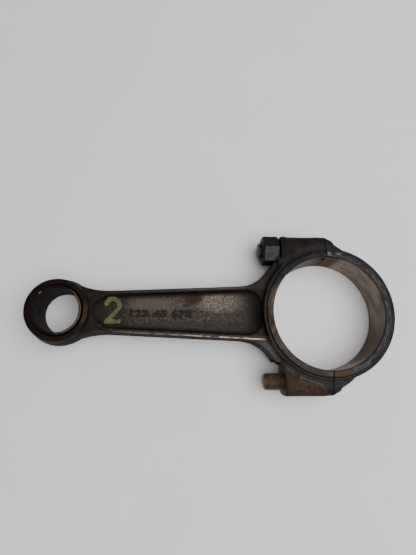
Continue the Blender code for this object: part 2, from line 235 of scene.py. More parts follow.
def add_mesh(name, bm):
    mesh = bpy.data.meshes.new(name)
    bm.to_mesh(mesh)
    bm.free()
    return add_object(name, mesh)


def drop(made):
    bpy.data.objects.remove(made, do_unlink=True)


def apply_modifiers(made):
    bpy.context.view_layer.update()
    graph = bpy.context.evaluated_depsgraph_get()
    mesh = bpy.data.meshes.new_from_object(made.evaluated_get(graph))
    made.modifiers.clear()
    old, made.data = made.data, mesh
    bpy.data.meshes.remove(old)


def combine(target, others, operation):
    for other in others:
        step = target.modifiers.new("combine", "BOOLEAN")
        step.operation = operation
        step.object = other
        step.solver = "MANIFOLD"
        apply_modifiers(target)
        drop(other)
    return target


def turned(name, profile, steps, centre=(0, 0, 0), axis="Z"):
    """A closed solid of revolution from (radius, height) points, highest first."""
    bm = bmesh.new()
    rings = []
    for r, z in profile:
        if r == 0:
            rings.append([bm.verts.new((0, 0, z))])
            continue
        spokes = [math.tau * i / steps for i in range(steps)]
        rings.append([bm.verts.new((r * math.cos(a), r * math.sin(a), z)) for a in spokes])
    closed = profile[0][0] > 0
    pairs = list(zip(rings, rings[1:])) + ([(rings[-1], rings[0])] if closed else [])
    for upper, lower in pairs:
        for i in range(steps):
            j = (i + 1) % steps
            corners = [upper[i % len(upper)], lower[i % len(lower)]]
            corners += [lower[j % len(lower)], upper[j % len(upper)]]
            bm.faces.new(list(dict.fromkeys(corners)))
    bmesh.ops.recalc_face_normals(bm, faces=bm.faces)
    if axis == "X":
        bmesh.ops.rotate(bm, matrix=Matrix.Rotation(math.pi / 2, 3, "Y"), verts=bm.verts)
    bmesh.ops.translate(bm, vec=centre, verts=bm.verts)
    return add_mesh(name, bm)


def flipped(made, y=1, z=1):
    """Reflects a piece in the middle planes where y or z is -1, its faces still outwards."""
    made.data.transform(Matrix.Diagonal((1, y, z, 1)))
    if y * z < 0:
        made.data.flip_normals()
    return made


def mirrored(upper):
    """An upper half profile and its reflection below the middle plane."""
    return upper + [(r, -z) for r, z in reversed(upper) if z > 0]


def box(name, low, high):
    bm = bmesh.new()
    size = Vector(high) - Vector(low)
    place = Matrix.Translation((Vector(high) + Vector(low)) / 2)
    bmesh.ops.create_cube(bm, size=1.0, matrix=place @ Matrix.Diagonal((*size, 1.0)))
    return add_mesh(name, bm)


def bore_profile(radius, face, edge, beyond=BEYOND):
    """Cutter for a bore whose edge at each face is chamfered."""
    return mirrored([(0, face + beyond), (radius + edge + beyond, face + beyond), (radius, face - edge)])


def cylinder_x(name, radius, start, end, y, steps=48):
    profile = [(0, end), (radius, end), (radius, start), (0, start)]
    return turned(name, profile, steps, (0, y, 0), "X")


def plate(name, outline, levels):
    """A plan outline carried through (height, inset) levels from the lowest to the highest."""
    return stack(name, [(z, offset(outline, inset)) for z, inset in levels])


def stack(name, layers):
    """A solid through (height, outline) layers, whose outlines have equal counts of points."""
    return skinned(name, [[(x, y, z) for x, y in outline] for z, outline in layers])


def skinned(name, rings):
    """A closed solid over rings of points, each with as many points as the next."""
    bm = bmesh.new()
    rings = [[bm.verts.new(point) for point in ring] for ring in rings]
    for back, front in zip(rings, rings[1:]):
        for i in range(len(back)):
            j = (i + 1) % len(back)
            bm.faces.new((back[i], back[j], front[j], front[i]))
    bm.faces.new(rings[0])
    bm.faces.new(rings[-1])
    bmesh.ops.recalc_face_normals(bm, faces=bm.faces)
    bmesh.ops.triangulate(bm, faces=[f for f in bm.faces if len(f.verts) > 4])
    return add_mesh(name, bm)


def offset(outline, inset):
    """A counter-clockwise outline moved inwards."""
    moved = []
    for i, point in enumerate(outline):
        here = Vector(point)
        back = (here - Vector(outline[i - 1])).normalized()
        ahead = (Vector(outline[(i + 1) % len(outline)]) - here).normalized()
        inward = Vector((-back.y - ahead.y, back.x + ahead.x)).normalized()
        share = max(0.4, inward.dot(Vector((-back.y, back.x))))
        moved.append(tuple(here + inward * inset / share))
    return moved


def arc(centre, radius, start, end, steps):
    angles = [start + (end - start) * i / steps for i in range(steps + 1)]
    return [(centre[0] + radius * math.cos(a), centre[1] + radius * math.sin(a)) for a in angles]


def rounded(corners, radii, steps=10):
    """A closed outline with each corner replaced by an arc of its own radius, or kept at 0."""
    outline = []
    for i, (corner, radius) in enumerate(zip(corners, radii)):
        here = Vector(corner)
        before = (Vector(corners[i - 1]) - here).normalized()
        after = (Vector(corners[(i + 1) % len(corners)]) - here).normalized()
        if radius == 0:
            outline.append(tuple(here))
            continue
        half = before.angle(after) / 2
        middle = here + (before + after).normalized() * radius / math.sin(half)
        first = here + before * radius / math.tan(half) - middle
        last = here + after * radius / math.tan(half) - middle
        turn = first.angle_signed(last)
        for k in range(steps + 1):
            spoke = Matrix.Rotation(-turn * k / steps, 2) @ first
            outline.append(tuple(middle + spoke))
    return outline


def loft_x(name, sections, steps=40):
    """A closed solid through (x, low y, high y, half height, squareness) sections."""
    rings = []
    for x, low, high, half, power in sections:
        ring = []
        for i in range(steps):
            a = math.tau * (i + 0.5) / steps
            c, s = math.cos(a), math.sin(a)
            y = math.copysign(abs(c) ** (2 / power), c) * (high - low) / 2 + (high + low) / 2
            z = math.copysign(abs(s) ** (2 / power), s) * half
            ring.append((x, y, z))
        rings.append(ring)
    return skinned(name, rings)


# ---------------------------------------------------------------- forging

def shank_half_width(x, inset=0.0):
    return SHANK_HALF_WIDTH - inset + SHANK_TAPER * x


def small_fillet():
    """Arc that leads from the eye into the shank's edge, on the +Y side, eye end first."""
    reach = EYE_R - 2 * GAP
    away = SHANK_HALF_WIDTH + SMALL_FILLET_R * math.hypot(1, SHANK_TAPER)
    a = 1 + SHANK_TAPER**2
    b = 2 * (-EYE_X + away * SHANK_TAPER)
    c = EYE_X**2 + away**2 - (reach + SMALL_FILLET_R) ** 2
    x = (-b + math.sqrt(b * b - 4 * a * c)) / (2 * a)
    centre = (x, away + SHANK_TAPER * x)
    towards_eye = math.atan2(-centre[1], EYE_X - x)
    towards_edge = math.atan(SHANK_TAPER) - math.pi / 2
    return arc(centre, SMALL_FILLET_R, towards_eye, towards_edge, 12)


def shank_outline():
    shoulder = (FLARE[0], shank_half_width(FLARE[0]))
    edge_start = (RECESS_SMALL[0], shank_half_width(RECESS_SMALL[0]))
    flare = rounded([edge_start, shoulder, FLARE], [0, BIG_FILLET_R, 0])[1:-1]
    upper = [(EYE_X, EYE_BORE_R), *small_fillet(), *flare, FLARE, (-BIG_BORE_R / 2, FLARE[1])]
    lower = [(x, -y) for x, y in upper]
    return lower + upper[::-1]


def recess_outline(inset, ramp):
    """Plan of a recess, moved in all round and pulled back further at the big end."""
    small_x, small_y = RECESS_SMALL
    big_x = RECESS_BIG_X - inset - ramp
    wall, back = FLANGE_WIDTH + inset, 0.8 * ramp
    upper = [
        (big_x, shank_half_width(big_x, wall)),
        (RECESS_SHOULDER_X + inset / 2 + back, shank_half_width(RECESS_SHOULDER_X, wall)),
        (small_x + inset + back, small_y - inset / 2),
    ]
    lower = [(x, -y) for x, y in reversed(upper)]
    radii = [8.5 - inset / 2, 7.0, 2.6]
    return rounded(lower + upper, radii[::-1] + radii)


def recess_cutter():
    """A recess open upwards: drafted wall, then a fillet down into the web."""
    rise = SHANK_HALF_HEIGHT - WEB_HALF_HEIGHT
    levels = []
    for step in range(7):
        turn = math.pi / 2 * step / 6
        inset = RECESS_DRAFT + RECESS_FILLET * (1 - math.sin(turn))
        height = RECESS_FILLET * (1 - math.cos(turn))
        levels.append((WEB_HALF_HEIGHT + height, inset, RECESS_RAMP * (1 - height / rise) ** 2))
    levels.append((SHANK_HALF_HEIGHT, 0, 0))
    levels.append((SHANK_HALF_HEIGHT + 3, -0.6, 0))
    return stack("recess", [(z, recess_outline(inset, ramp)) for z, inset, ramp in levels])


def boss_sections():
    """Rod's boss from its lip at the nut seat, then the cap's lug running down to the hub."""
    low, high, half = BOSS_INNER_Y - 3, BOSS_OUTER_Y, BOSS_HALF_HEIGHT
    return [
        (SEAT_X - 2, low, high - 2.0, half, 3.6),
        (SEAT_X, low, high - 0.8, half, 3.6),
        (SEAT_X + 0.8, low, high, half, 3.6),
        (SEAT_X + 3.0, low, high, half, 3.4),
        (SEAT_X + 4.2, low, high, half - 0.5, 2.9),
        (-12.0, low, high, half - 0.25, 2.7),
        (-6.0, low, high, half, 2.9),
        (-3.6, low, high, half, 3.4),
        (-0.9, low, LUG_Y, half, 3.6),
        (0.9, low, LUG_Y, half, 3.6),
        (4.5, low, 39.6, half - 0.1, 3.6),
        (5.6, low, 38.2, half - 0.9, 3.4),
        (11.0, low, 34.8, half - 2.0, 3.4),
        (15.0, low, 31.0, half - 3.0, 3.4),
        (19.0, low, 26.5, half - 3.8, 3.4),
    ]


def forge_blank():
    """The whole forging, rod and cap in one, before any cut."""
    top = SHANK_HALF_HEIGHT
    levels = [(FLASH / 2, 0), (top - 0.5, SHANK_DRAFT), (top, SHANK_DRAFT + 0.4)]
    levels = [(-z, inset) for z, inset in reversed(levels)] + levels
    blank = plate("rod_forging", shank_outline(), levels)
    for side in (1, -1):
        combine(blank, [flipped(recess_cutter(), z=side)], "DIFFERENCE")

    eye_top = EYE_FACE + ALLOWANCE
    eye_wall = (EYE_R - EYE_FACE_R) / EYE_FACE
    eye_top_r = EYE_R - eye_wall * eye_top
    eye = [(0, eye_top), (eye_top_r, eye_top), (EYE_R, FLASH / 2)]
    hub_top = BIG_FACE + ALLOWANCE
    hub = [(0, hub_top), (TURNED_R + 0.1, hub_top), (HUB_R, FLASH / 2)]
    parts = [
        turned("eye", mirrored(eye), 96, (EYE_X, 0, 0)),
        turned("hub", mirrored(hub), 144),
    ]
    parts += [flipped(loft_x("boss", boss_sections()), y=side) for side in (1, -1)]
    return combine(blank, parts, "UNION")


def table(items, attribute, width=3, kind=np.float32):
    """One row of numbers for each vertex, edge or face."""
    values = np.empty(len(items) * width, kind)
    items.foreach_get(attribute, values)
    return values.reshape(-1, width)


def coordinates(mesh):
    return table(mesh.vertices, "co").astype(float)


def set_coordinates(mesh, co):
    mesh.vertices.foreach_set("co", co.astype(np.float32).ravel())
    mesh.update()


def edge_pairs(mesh):
    return table(mesh.edges, "vertices", 2, np.int32)


def relaxed(co, pairs, rounds, share=0.5):
    """Vertex values after each has moved towards the mean of its neighbours, many times."""
    count = np.bincount(pairs.ravel(), minlength=len(co)).astype(float)
    count = np.maximum(count, 1)[:, None]
    for _ in range(rounds):
        total = np.zeros_like(co)
        for axis in range(co.shape[1]):
            total[:, axis] += np.bincount(pairs[:, 0], co[pairs[:, 1], axis], len(co))
            total[:, axis] += np.bincount(pairs[:, 1], co[pairs[:, 0], axis], len(co))
        co = co + share * (total / count - co)
    return co


def soften(made, voxel, rounds):
    """Gives a piece an even skin of small faces and rounds its edges over."""
    remesh = made.modifiers.new("remesh", "REMESH")
    remesh.mode = "VOXEL"
    remesh.voxel_size = voxel
    apply_modifiers(made)
    mesh = made.data
    set_coordinates(mesh, relaxed(coordinates(mesh), edge_pairs(mesh), rounds))


def forged_skin(blank):
    """Softened skin with the faint unevenness of a hammered forging."""
    soften(blank, VOXEL, SKIN_ROUNDS)
    for scale, strength in ((7.0, 0.16), (1.8, 0.07)):
        texture = bpy.data.textures.new("hammered", "CLOUDS")
        texture.noise_scale = scale
        bump = blank.modifiers.new("unevenness", "DISPLACE")
        bump.texture = texture
        bump.texture_coords = "LOCAL"
        bump.strength = strength
        bump.mid_level = 0.5
    apply_modifiers(blank)
    return blank


# ---------------------------------------------------------------- machining

def big_end_cutters():
    """Turns away everything above the ring, the step beside it and the bore."""
    face, step = BIG_FACE, BIG_FACE - TURNED_DROP
    above = [
        (0, face + 4),
        (TURNED_R + 2.2, face + 4),
        (TURNED_R + 1.2, step + 0.8),
        (TURNED_R, step),
        (RING_R + 0.25, step),
        (RING_R + 0.05, face - 0.15),
        (RING_R - 0.2, face),
        (0, face),
    ]
    cutters = [flipped(turned("face_cut", above, 180), z=side) for side in (1, -1)]
    cutters.append(turned("bore_cut", bore_profile(BIG_BORE_R, face, BORE_CHAMFER), 180))
    for side in (1, -1):
        for turn in (1, -1):
            apron = plate("apron_cut", apron_outline(), [(APRON_Z, 0), (APRON_Z + 6, 0)])
            cutters.append(flipped(apron, y=turn, z=side))
    return cutters


def apron_corner():
    """Middle of the fillet between the strip around the ring and the cut's full width."""
    x = APRON_X[0] - APRON_CORNER_R
    return (x, math.sqrt((APRON_R + APRON_CORNER_R) ** 2 - x * x))


def apron_outline():
    """Flat cut beside the parting plane: full width there, and a strip around the ring behind."""
    reach, r = BOSS_OUTER_Y + 3, APRON_CORNER_R
    corner = apron_corner()
    touch = math.atan2(corner[1], corner[0])
    back = math.radians(134)
    inner = arc((0, 0), TURNED_R + 0.02, math.radians(78), back, 24)
    outer = arc((0, 0), APRON_R, back, touch, 16)
    fillet = arc(corner, r, touch - math.pi, 0, 10)
    front = [(APRON_X[0], reach), (APRON_X[1], reach)]
    return (inner + outer + fillet[1:] + front)[::-1]


def rod_cutters():
    face = EYE_FACE
    cutters = big_end_cutters()
    for side in (1, -1):
        low, high = sorted((side * face, side * (face + 5)))
        cutters.append(box("eye_face_cut", (EYE_X - 20, -20, low), (EYE_X + 20, 20, high)))
        y = side * STUD_Y
        cutters.append(cylinder_x("seat_cut", SEAT_CUTTER_R[side], SEAT_X - 25, SEAT_X, y))
        cutters.append(cylinder_x("stud_cut", STUD_HOLE_R, SEAT_X - 5, 5, y))
        low, high = sorted((side * (STUD_Y - 2), side * (BOSS_OUTER_Y + 5)))
        cutters.append(box("seat_plane_cut", (SEAT_X - 6, low, -15), (SEAT_X, high, 15)))
    bore = bore_profile(EYE_BORE_R, face, EYE_CHAMFER)
    cutters.append(turned("eye_bore_cut", bore, 120, (EYE_X, 0, 0)))
    cutters.append(cylinder_x("oil_cut", OIL_HOLE_R, EYE_X - EYE_R - BEYOND, EYE_X, 0, 24))
    length, depth, width = TANG_NOTCH
    top = BIG_FACE - TANG_NOTCH_DROP
    notch_low = (-length, BIG_BORE_R - 3 * depth, top - width)
    notch_high = (GAP, BIG_BORE_R + depth, top)
    cutters.append(box("notch_cut", notch_low, notch_high))
    cutters.append(box("parting_cut", (-GAP / 2, -60, -20), (60, 60, 20)))
    return cutters


def cap_cutters():
    cutters = big_end_cutters()
    cutters.append(box("parting_cut", (-160, -60, -20), (GAP / 2, 60, 20)))
    return cutters


# ---------------------------------------------------------------- small pieces

def make_bush():
    face = EYE_FACE
    profile = [
        (BUSH_BORE_R + 0.55, face - 0.08),
        (BUSH_BORE_R + 0.75, face),
        (BUSH_R - 0.35, face),
        (BUSH_R - 0.1, face - 0.12),
        (BUSH_R, face - 0.45),
    ]
    lower = [(r, -z) for r, z in reversed(profile)]
    bore = [(BUSH_BORE_R, -face + 0.6), (BUSH_BORE_R, face - 0.6)]
    bush = turned("small_end_bush_worn", profile + lower + bore, 128, (EYE_X, 0, 0))
    hole = cylinder_x("oil_cut", OIL_HOLE_R, EYE_X - BUSH_R - 2, EYE_X, 0, 24)
    return combine(bush, [hole], "DIFFERENCE")


def make_stud(side):
    """Threaded, waisted stud turned along X, its thread a real helix."""
    tip, chamfer = -STUD_TIP[side], TIP_CHAMFER[side]
    thread_end = tip - THREAD_LENGTH
    marks = [
        (tip, STUD_R - chamfer - 0.15, 0),
        (tip - 0.15, STUD_R - chamfer + 0.05, 0),
        (tip - chamfer, STUD_R - 0.1, 1),
        (thread_end + 1.0, STUD_R, 1),
        (thread_end, STUD_R - THREAD_DEPTH * 0.6, 0),
        (thread_end - 0.6, STUD_WAIST_R, 0),
        (STUD_COLLAR + 0.4, STUD_WAIST_R, 0),
        (STUD_COLLAR, STUD_R, 0),
        (GAP, STUD_R, 0),
        (GAP, SPIGOT_R, 0),
        (-SPIGOT_LENGTH + GAP, SPIGOT_R, 0),
        (-SPIGOT_LENGTH, SPIGOT_R - GAP, 0),
    ]
    spokes = 48
    stations = []
    for here, there in zip(marks, marks[1:]):
        threaded = here[2] or there[2]
        count = max(1, round((here[0] - there[0]) / THREAD_STEP)) if threaded else 1
        stations += [Vector(here).lerp(Vector(there), k / count) for k in range(count)]
    stations.append(marks[-1])
    rings = []
    for s, r, threaded in stations:
        ring = []
        for i in range(spokes):
            a = math.tau * i / spokes
            phase = (s / THREAD_PITCH + i / spokes) % 1.0
            groove = min(1.0, max(0.0, 1.35 * abs(2 * phase - 1) - 0.12))
            here = r - threaded * THREAD_DEPTH * groove
            y = STUD_SIDE[side] * STUD_Y + here * math.sin(a)
            ring.append((-s, y, here * math.cos(a)))
        rings.append(ring)
    return skinned(f"threaded_stud_{side}", rings)


def make_nut():
    """Hexagon nut with cone-chamfered ends, its edges softened by wear."""
    corner_r = NUT_ACROSS_FLATS / math.sqrt(3)
    turns = [NUT_TURN + math.radians(30 + 60 * k) for k in range(6)]
    rings = [
        [(x, STUD_Y - corner_r * math.sin(a), corner_r * math.cos(a)) for a in turns]
        for x in (NUT_START, NUT_END)
    ]
    nut = skinned("hexagon_nut", rings)

    half, middle = (NUT_END - NUT_START) / 2, (NUT_END + NUT_START) / 2
    face_r = NUT_FACE_SHARE * NUT_ACROSS_FLATS / 2
    fall = (corner_r + GAP - face_r) * math.tan(NUT_CHAMFER)
    cone = mirrored([(0, half), (face_r, half), (corner_r + GAP, half - fall)])
    bore = bore_profile(STUD_HOLE_R, half, NUT_SINK, 1)
    for name, profile, operation in (("cone", cone, "INTERSECT"), ("bore", bore, "DIFFERENCE")):
        cutter = turned(f"nut_{name}", profile, 96, (middle, STUD_Y, 0), "X")
        combine(nut, [cutter], operation)
    soften(nut, NUT_VOXEL, 2)
    add_attributes(nut, *relief(nut.data, 10, 0.10), 0.9)
    return nut


def surface_over(tree, x, y):
    hit = tree.ray_cast(Vector((x, y, SHANK_HALF_HEIGHT + 5)), Vector((0, 0, -1)))
    return hit[0].z


def make_figures(tree):
    """Row of raised generic figures on the web."""
    data = bpy.data.curves.new("web_figures", "FONT")
    data.body = "123 45 678"
    data.size = 5.4
    data.space_character = 1.06
    data.extrude = 0.42
    data.bevel_depth = 0.16
    data.bevel_resolution = 1
    data.offset = 0.13
    data.resolution_u = 4
    source = add_object("web_figures", data)
    bpy.context.view_layer.update()
    graph = bpy.context.evaluated_depsgraph_get()
    mesh = bpy.data.meshes.new_from_object(source.evaluated_get(graph))
    drop(source)
    co = coordinates(mesh)
    low, high = co.min(0), co.max(0)
    (x0, y0), (x1, y1) = FIGURES_LOW, FIGURES_HIGH
    co[:, 0] = x0 + (co[:, 0] - low[0]) * (x1 - x0) / (high[0] - low[0])
    co[:, 1] = y0 + (co[:, 1] - low[1]) * (y1 - y0) / (high[1] - low[1])
    co[:, 2] += [surface_over(tree, x, y) for x, y in co[:, :2]]
    set_coordinates(mesh, co)
    return add_object("web_figures", mesh)


def brush_path():
    """Centre line of the hand-painted generic figure."""
    bow = arc(PAINT_BOW, PAINT_BOW_R, math.radians(172), math.radians(-38), 16)
    (x0, x1), y = PAINT_FOOT_X, PAINT_FOOT_Y
    return bow + [(x0, y), (x1, y + 0.3)]


def distance_to_path(points, path):
    """Least distance from each point to a polyline."""
    best = np.full(len(points), 1e9)
    for a, b in zip(path, path[1:]):
        a, b = np.array(a), np.array(b)
        run = b - a
        share = np.clip((points - a) @ run / (run @ run), 0, 1)
        best = np.minimum(best, np.linalg.norm(points - a - share[:, None] * run, axis=1))
    return best


def make_paint(tree):
    """Paint film laid over the recess: closed, thin, and ragged where the brush ran dry."""
    path = brush_path()
    xs = [x for x, _ in path]
    ys = [y for _, y in path]
    margin, cell = 2, PAINT_CELL
    x0, y0 = min(xs) - margin, min(ys) - margin
    columns = int((max(xs) + margin - x0) / cell)
    rows = int((max(ys) + margin - y0) / cell)
    across, up = x0 + cell * np.arange(columns), y0 + cell * np.arange(rows)
    points = np.stack([grid.ravel() for grid in np.meshgrid(across, up, indexing="ij")], 1)
    ragged = np.array([noise.noise(Vector((x * 0.9, y * 0.9, 3.0))) for x, y in points])
    dry = np.array([noise.noise(Vector((x * 2.2, y * 2.2, 8.0))) for x, y in points])
    gap = distance_to_path(points, path) - PAINT_HALF_WIDTH + 0.28 * ragged
    inside = ((gap < 0) & (dry < 0.62)).reshape(columns, rows)
    bm = bmesh.new()
    corners = {}
    for i, j in np.argwhere(inside):
        ring = []
        for key in ((i, j), (i + 1, j), (i + 1, j + 1), (i, j + 1)):
            if key not in corners:
                corners[key] = bm.verts.new((x0 + cell * key[0], y0 + cell * key[1], 0))
            ring.append(corners[key])
        bm.faces.new(ring)
    for _ in range(3):
        bmesh.ops.smooth_vert(bm, verts=bm.verts, factor=0.5, use_axis_x=True, use_axis_y=True)
    for v in bm.verts:
        v.co.z = surface_over(tree, v.co.x, v.co.y) + PAINT_LIFT
    pinched = [v for v in bm.verts if not v.is_manifold and not v.is_boundary]
    bmesh.ops.delete(bm, geom=pinched, context="VERTS")
    film = add_mesh("painted_figure", bm)
    solid = film.modifiers.new("film", "SOLIDIFY")
    solid.thickness = PAINT_THICKNESS
    solid.offset = -1
    apply_modifiers(film)
    return film


# ---------------------------------------------------------------- relief attributes

def relief(mesh, rounds, height):
    """How far each vertex stands out of the surface around it: crests and hollows, 0 to 1."""
    co, pairs = coordinates(mesh), edge_pairs(mesh)
    normals = table(mesh.vertex_normals, "vector").astype(float)
    out = np.einsum("ij,ij->i", co - relaxed(co, pairs, rounds), normals)
    return np.clip(out / height, 0, 1), np.clip(-out / height, 0, 1)


def add_attributes(made, crest, hollow, share=1.0):
    for name, values in (("crest", crest * share), ("hollow", hollow)):
        layer = made.data.attributes.new(name, "FLOAT", "POINT")
        layer.data.foreach_set("value", values.astype(np.float32))


def copy_attributes(made, source, values):
    """Each vertex takes the values of the nearest vertex of the uncut forging."""
    nearest = np.array([source.find(v.co)[1] for v in made.data.vertices])
    add_attributes(made, values[0][nearest], values[1][nearest])


def sort_faces(made):
    """Material index by where a face lies: 0 forged skin, 1 machined, 2 big-end bore."""
    faces = made.data.polygons
    x, y, z = table(faces, "center").T
    across, _, up = np.abs(table(faces, "normal")).T
    height = np.abs(z)
    r, r_eye = np.hypot(x, y), np.hypot(x - EYE_X, y)
    to_stud = np.hypot(np.abs(y) - STUD_Y, z)
    bore = (r < BIG_BORE_R + 1.6) & (height < BIG_FACE - 0.01)
    ring = (r < TURNED_R + 0.1) & (height > BIG_FACE - TURNED_DROP - 0.05)
    apron = (up > 0.99) & (np.abs(height - APRON_Z) < 0.02)
    eye = (r_eye < EYE_FACE_R + 1) & ((height > EYE_FACE - 0.05) | (r_eye < EYE_BORE_R + 1))
    flat_x = (across > 0.99) & ((np.abs(x) < GAP) | (np.abs(x - SEAT_X) < 0.05))
    hole = (to_stud < STUD_HOLE_R + 0.1) & (across < 0.2)
    index = np.where(ring | apron | eye | flat_x | hole, 1, 0)
    index = np.where(bore & ~flat_x, 2, index)
    faces.foreach_set("material_index", index.astype(np.int32))


# ---------------------------------------------------------------- finishing

def deliver(made, body, nodes, materials):
    """Moves a finished piece into the frame, gives it its materials and lets it ride."""
    mesh = made.data
    mesh.transform(Matrix.Translation(CENTRE / M) @ Matrix.Scale(1 / M, 4))
    index = table(mesh.polygons, "material_index", 1, np.int32)
    mesh.materials.clear()
    for material in materials:
        mesh.materials.append(material)
    mesh.polygons.foreach_set("material_index", index.ravel())
    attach(made, body)
    if nodes:
        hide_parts(*nodes)


def crisp(made, degrees=32):
    """Smooth shading that breaks at the machined edges."""
    made.data.shade_smooth()
    made.data.set_sharp_from_angle(angle=math.radians(degrees))


# ---------------------------------------------------------------- materials

class Surface:
    """A material's node tree, written as short expressions on millimetres of the rod's plan."""

    def __init__(self, name, metallic, specular=0.2):
        self.material = bpy.data.materials.new(name)
        self.material.use_nodes = True
        self.tree = self.material.node_tree
        self.shader = self.tree.nodes["Principled BSDF"]
        self.shader.inputs["Metallic"].default_value = metallic
        self.shader.inputs["Specular IOR Level"].default_value = specular
        coords = self.node("TexCoord")
        local = self.node("VectorMath", operation="MULTIPLY_ADD")
        self.put(local.inputs[0], coords.outputs["Object"])
        local.inputs[1].default_value = (M, M, M)
        local.inputs[2].default_value = -CENTRE
        self.place = local.outputs[0]
        split = self.node("SeparateXYZ")
        self.put(split.inputs[0], self.place)
        self.x, self.y, self.z = split.outputs

    def node(self, kind, **settings):
        node = self.tree.nodes.new("ShaderNode" + kind)
        for name, value in settings.items():
            setattr(node, name, value)
        return node

    def put(self, socket, value):
        if isinstance(value, bpy.types.NodeSocket):
            self.tree.links.new(value, socket)
        else:
            socket.default_value = value

    def math(self, operation, *values):
        node = self.node("Math", operation=operation)
        for socket, value in zip(node.inputs, values):
            self.put(socket, value)
        return node.outputs[0]

    def scaled(self, value, factor, added):
        return self.math("MULTIPLY_ADD", value, factor, added)

    def minus(self, value, taken):
        return self.math("SUBTRACT", value, taken)

    def size(self, value):
        return self.math("ABSOLUTE", value)

    def away(self, value, middle):
        return self.size(self.minus(value, middle))

    def length(self, dx, dy):
        return self.math("SQRT", self.math("ADD", self.both(dx, dx), self.both(dy, dy)))

    def both(self, *values):
        product = values[0]
        for value in values[1:]:
            product = self.math("MULTIPLY", product, value)
        return product

    def either(self, *values):
        most = values[0]
        for value in values[1:]:
            most = self.math("MAXIMUM", most, value)
        return most

    def smooth(self, value, low, high):
        """0 at low, 1 at high, whichever is larger."""
        node = self.node("MapRange", interpolation_type="SMOOTHSTEP")
        low_first = low < high
        self.put(node.inputs["Value"], value)
        node.inputs["From Min"].default_value = low if low_first else high
        node.inputs["From Max"].default_value = high if low_first else low
        node.inputs["To Min"].default_value = 0 if low_first else 1
        node.inputs["To Max"].default_value = 1 if low_first else 0
        return node.outputs[0]

    def noise(self, size, detail=4, rough=0.55, stretch=None):
        """Cloudy noise whose blotches are about size millimetres across."""
        node = self.node("TexNoise")
        node.inputs["Scale"].default_value = 1 / size
        node.inputs["Detail"].default_value = detail
        node.inputs["Roughness"].default_value = rough
        where = self.place
        if stretch:
            scaled = self.node("VectorMath", operation="MULTIPLY")
            self.put(scaled.inputs[0], where)
            scaled.inputs[1].default_value = stretch
            where = scaled.outputs[0]
        self.put(node.inputs["Vector"], where)
        return node.outputs["Fac"]

    def polar_noise(self, r, angle, size_r, size_along, detail=3):
        """Noise drawn out around an axis, as turning and wear leave it."""
        node = self.node("TexNoise")
        node.inputs["Scale"].default_value = 1
        node.inputs["Detail"].default_value = detail
        merged = self.node("CombineXYZ")
        scales = ((r, size_r), (angle, size_along), (self.z, size_r))
        for socket, (value, size) in zip(merged.inputs, scales):
            self.put(socket, self.both(value, 1 / size))
        self.put(node.inputs["Vector"], merged.outputs[0])
        return node.outputs["Fac"]

    def attribute(self, name):
        return self.node("Attribute", attribute_name=name).outputs["Fac"]

    def radius(self, x=0.0, y=0.0):
        return self.length(self.minus(self.x, x), self.minus(self.y, y))

    def angle(self, x=0.0):
        return self.math("ARCTAN2", self.y, self.minus(self.x, x))

    def spot(self, x, y, rx, ry, soft=0.5, ragged=0.5, size=3.0):
        """An elliptical patch with a ragged edge."""
        dx, dy = self.both(self.minus(self.x, x), 1 / rx), self.both(self.minus(self.y, y), 1 / ry)
        warp = self.scaled(self.noise(size), 2 * ragged, -ragged)
        return self.smooth(self.math("ADD", self.length(dx, dy), warp), 1 + soft, 1 - soft)

    def ramp(self, value, *stops):
        node = self.node("ValToRGB")
        ramp = node.color_ramp
        while len(ramp.elements) < len(stops):
            ramp.elements.new(0.5)
        for element, (position, color) in zip(ramp.elements, stops):
            element.position = position
            element.color = (*color, 1)
        self.put(node.inputs[0], value)
        return node.outputs[0]

    def mix(self, share, first, second):
        node = self.node("Mix", data_type="RGBA")
        colors = [socket for socket in node.inputs if socket.type == "RGBA"]
        self.put(node.inputs[0], share)
        for socket, color in zip(colors, (first, second)):
            self.put(socket, color if isinstance(color, bpy.types.NodeSocket) else (*color, 1))
        return [socket for socket in node.outputs if socket.type == "RGBA"][0]

    def layers(self, color, *coats):
        """Lays (share, color) coats over a ground colour."""
        for share, coat in coats:
            color = self.mix(share, color, coat)
        return color

    def finish(self, color, rough, height, depth):
        """Sends colour, roughness and a bump of the given depth in millimetres to the shader."""
        self.put(self.shader.inputs["Base Color"], color)
        self.put(self.shader.inputs["Roughness"], rough)
        bump = self.node("Bump")
        bump.inputs["Distance"].default_value = depth / M
        self.put(bump.inputs["Height"], height)
        self.put(self.shader.inputs["Normal"], bump.outputs[0])
        return self.material


